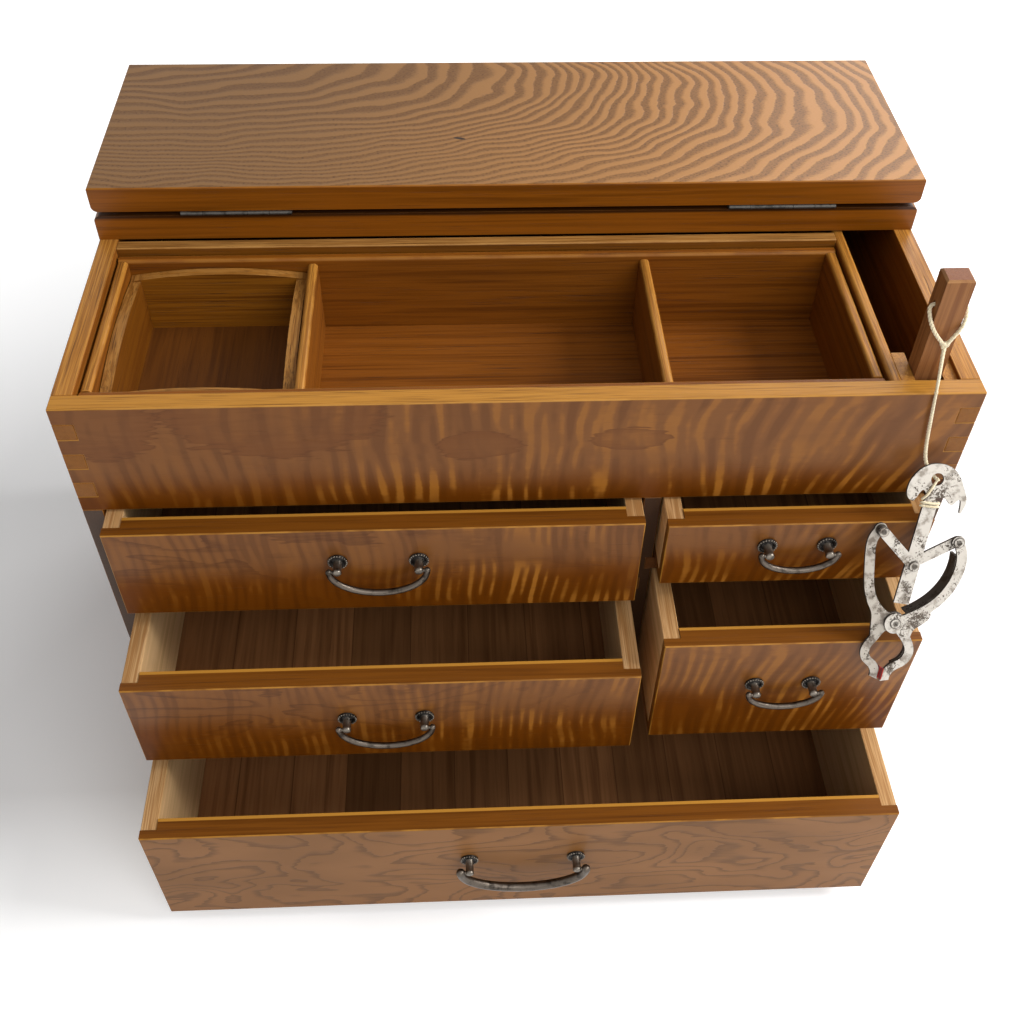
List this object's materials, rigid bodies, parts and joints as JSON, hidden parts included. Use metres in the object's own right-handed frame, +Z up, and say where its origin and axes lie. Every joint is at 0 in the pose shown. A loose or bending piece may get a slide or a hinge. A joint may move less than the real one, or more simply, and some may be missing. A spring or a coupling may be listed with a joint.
{
  "type": "sewing cabinet",
  "caption": "Small wooden sewing cabinet with pull-out drawers, a folding half lid over a lift-out tray, and a folding post with a cloth clamp on a cord.",
  "frame": {"origin": "on the floor under the middle of the case's bottom board", "axes": "+X to the right seen from the drawer side, +Y to the back, +Z up"},
  "size_m": [0.3988, 0.342, 0.3403],
  "materials": {
    "case_wood": "worn brown varnish on plain boards",
    "figured_wood": "glossy brown varnish on curly figured boards",
    "top_wood": "satin varnish on bold cathedral grain",
    "tray_wood": "satin varnish on straight open grain",
    "drawer_wood": "bare wood, pale sides and darker boards",
    "post_wood": "dull handled wood",
    "handle_metal": "dark pewter, rubbed bright on the rims",
    "hinge_metal": "dull grey steel",
    "clamp_metal": "worn nickel plate with dark pits",
    "cotton_cord": "twisted cream cotton"
  },
  "bodies": {
    "case": {"left_side": "case_wood", "right_side": "case_wood", "bottom_board": "case_wood", "back_panel": "case_wood", "lower_shelf": "case_wood", "row_shelves": "case_wood", "column_divider": "case_wood", "upper_floor": "case_wood", "upper_front_panel": "figured_wood", "rear_top": "top_wood", "tray_stop_rail": "tray_wood", "slot_partition": "tray_wood", "post_cheeks": "tray_wood", "post_pivot_pin": "hinge_metal", "hinge_fixed_leaves": "hinge_metal", "hinge_pins": "hinge_metal", "hinge_fixed_screws": "hinge_metal"},
    "lid": {"lid": "top_wood", "hinge_lid_leaves": "hinge_metal", "hinge_lid_screws": "hinge_metal"},
    "tray": {"tray_long_walls": "tray_wood", "tray_end_walls": "tray_wood", "tray_bottom": "tray_wood", "tray_dividers": "tray_wood"},
    "pin_box": {"pin_box_walls": "tray_wood", "pin_box_bottom": "tray_wood"},
    "post": {"post": "post_wood", "cord_upper": "cotton_cord"},
    "top_left_drawer": {"top_left_drawer_front": "figured_wood", "top_left_drawer_box": "drawer_wood", "top_left_drawer_bottom": "drawer_wood", "top_left_drawer_handle_posts": "handle_metal"},
    "top_left_handle": {"top_left_drawer_handle": "handle_metal"},
    "top_right_drawer": {"top_right_drawer_front": "figured_wood", "top_right_drawer_box": "drawer_wood", "top_right_drawer_bottom": "drawer_wood", "top_right_drawer_handle_posts": "handle_metal"},
    "top_right_handle": {"top_right_drawer_handle": "handle_metal"},
    "middle_left_drawer": {"middle_left_drawer_front": "figured_wood", "middle_left_drawer_box": "drawer_wood", "middle_left_drawer_bottom": "drawer_wood", "middle_left_drawer_handle_posts": "handle_metal"},
    "middle_left_handle": {"middle_left_drawer_handle": "handle_metal"},
    "middle_right_drawer": {"middle_right_drawer_front": "figured_wood", "middle_right_drawer_box": "drawer_wood", "middle_right_drawer_bottom": "drawer_wood", "middle_right_drawer_handle_posts": "handle_metal"},
    "middle_right_handle": {"middle_right_drawer_handle": "handle_metal"},
    "bottom_drawer": {"bottom_drawer_front": "figured_wood", "bottom_drawer_box": "drawer_wood", "bottom_drawer_bottom": "drawer_wood", "bottom_drawer_handle_posts": "handle_metal"},
    "bottom_handle": {"bottom_drawer_handle": "handle_metal"},
    "clamp": {"clamp_bar": "clamp_metal", "cord_lower": "cotton_cord"},
    "clamp_pivot": {"clamp_pivot_rivet": "clamp_metal"},
    "clamp_left_arm": {"clamp_left_arm": "clamp_metal"},
    "clamp_right_arm": {"clamp_right_arm": "clamp_metal"},
    "clamp_left_link": {"clamp_left_link": "clamp_metal"},
    "clamp_right_link": {"clamp_right_link": "clamp_metal"}
  },
  "joints": [
    {"name": "top_left_drawer_slide", "type": "slide", "parent": "case", "child": "top_left_drawer", "axis": [0, -1, 0], "range_m": [-0.015, 0.17]},
    {"name": "top_left_handle_swing", "type": "hinge", "parent": "top_left_drawer", "child": "top_left_handle", "pos_m": [-0.06575, -0.1428, 0.20956], "axis": [-1, 0, 0], "range_deg": [0, 95]},
    {"name": "top_right_drawer_slide", "type": "slide", "parent": "case", "child": "top_right_drawer", "axis": [0, -1, 0], "range_m": [-0.0172, 0]},
    {"name": "top_right_handle_swing", "type": "hinge", "parent": "top_right_drawer", "child": "top_right_handle", "pos_m": [0.12625, -0.145, 0.21623], "axis": [-1, 0, 0], "range_deg": [0, 95]},
    {"name": "middle_left_drawer_slide", "type": "slide", "parent": "case", "child": "middle_left_drawer", "axis": [0, -1, 0], "range_m": [-0.0525, 0.1325]},
    {"name": "middle_left_handle_swing", "type": "hinge", "parent": "middle_left_drawer", "child": "middle_left_handle", "pos_m": [-0.06575, -0.1803, 0.13716], "axis": [-1, 0, 0], "range_deg": [0, 95]},
    {"name": "middle_right_drawer_slide", "type": "slide", "parent": "case", "child": "middle_right_drawer", "axis": [0, -1, 0], "range_m": [-0.0468, 0]},
    {"name": "middle_right_handle_swing", "type": "hinge", "parent": "middle_right_drawer", "child": "middle_right_handle", "pos_m": [0.12625, -0.1746, 0.14813], "axis": [-1, 0, 0], "range_deg": [0, 95]},
    {"name": "bottom_drawer_slide", "type": "slide", "parent": "case", "child": "bottom_drawer", "axis": [0, -1, 0], "range_m": [-0.09, 0.095]},
    {"name": "bottom_handle_swing", "type": "hinge", "parent": "bottom_drawer", "child": "bottom_handle", "pos_m": [0, -0.2186, 0.06102], "axis": [-1, 0, 0], "range_deg": [0, 95]},
    {"name": "lid_hinge", "type": "hinge", "parent": "case", "child": "lid", "pos_m": [0, -0.00175, 0.3061], "axis": [1, 0, 0], "range_deg": [0, 180]},
    {"name": "post_fold", "type": "hinge", "parent": "case", "child": "post", "pos_m": [0.1757, -0.1025, 0.272], "axis": [-1, 0, 0], "range_deg": [0, 90]},
    {"name": "tray_lift", "type": "slide", "parent": "case", "child": "tray", "axis": [0, 0, -1], "range_m": [-0.09, 0]},
    {"name": "pin_box_lift", "type": "slide", "parent": "tray", "child": "pin_box", "axis": [0, 0, -1], "range_m": [-0.06, 0]},
    {"name": "clamp_swing", "type": "hinge", "parent": "case", "child": "clamp", "pos_m": [0.1738, -0.1224, 0.294], "axis": [-1, 0, 0], "range_deg": [0, 60]},
    {"name": "clamp_grip", "type": "slide", "parent": "clamp", "child": "clamp_pivot", "axis": [0.1857, 0.4969, 0.8477], "range_m": [0, 0.003]},
    {"name": "clamp_right_arm_turn", "type": "hinge", "parent": "clamp_pivot", "child": "clamp_right_arm", "pos_m": [0.1714, -0.16247, 0.18859], "axis": [0, -0.8627, 0.5057], "range_deg": [0, 6.46]},
    {"name": "clamp_left_arm_turn", "type": "hinge", "parent": "clamp_pivot", "child": "clamp_left_arm", "pos_m": [0.1714, -0.16247, 0.18859], "axis": [0, 0.8627, -0.5057], "range_deg": [0, 6.46]},
    {"name": "clamp_right_link_turn", "type": "hinge", "parent": "clamp", "child": "clamp_right_link", "pos_m": [0.17678, -0.14806, 0.21317], "axis": [0, -0.8627, 0.5057], "range_deg": [0, 17.25]},
    {"name": "clamp_left_link_turn", "type": "hinge", "parent": "clamp", "child": "clamp_left_link", "pos_m": [0.17678, -0.14806, 0.21317], "axis": [0, 0.8627, -0.5057], "range_deg": [0, 17.25]}
  ],
  "couplings": [
    {"joint": "post_fold", "follows": "lid_hinge", "ratio": 0.5},
    {"joint": "clamp_right_arm_turn", "follows": "clamp_grip", "rad_per_m": 37.318},
    {"joint": "clamp_left_arm_turn", "follows": "clamp_grip", "rad_per_m": 37.318},
    {"joint": "clamp_right_link_turn", "follows": "clamp_grip", "rad_per_m": 100.08},
    {"joint": "clamp_left_link_turn", "follows": "clamp_grip", "rad_per_m": 100.08}
  ]
}
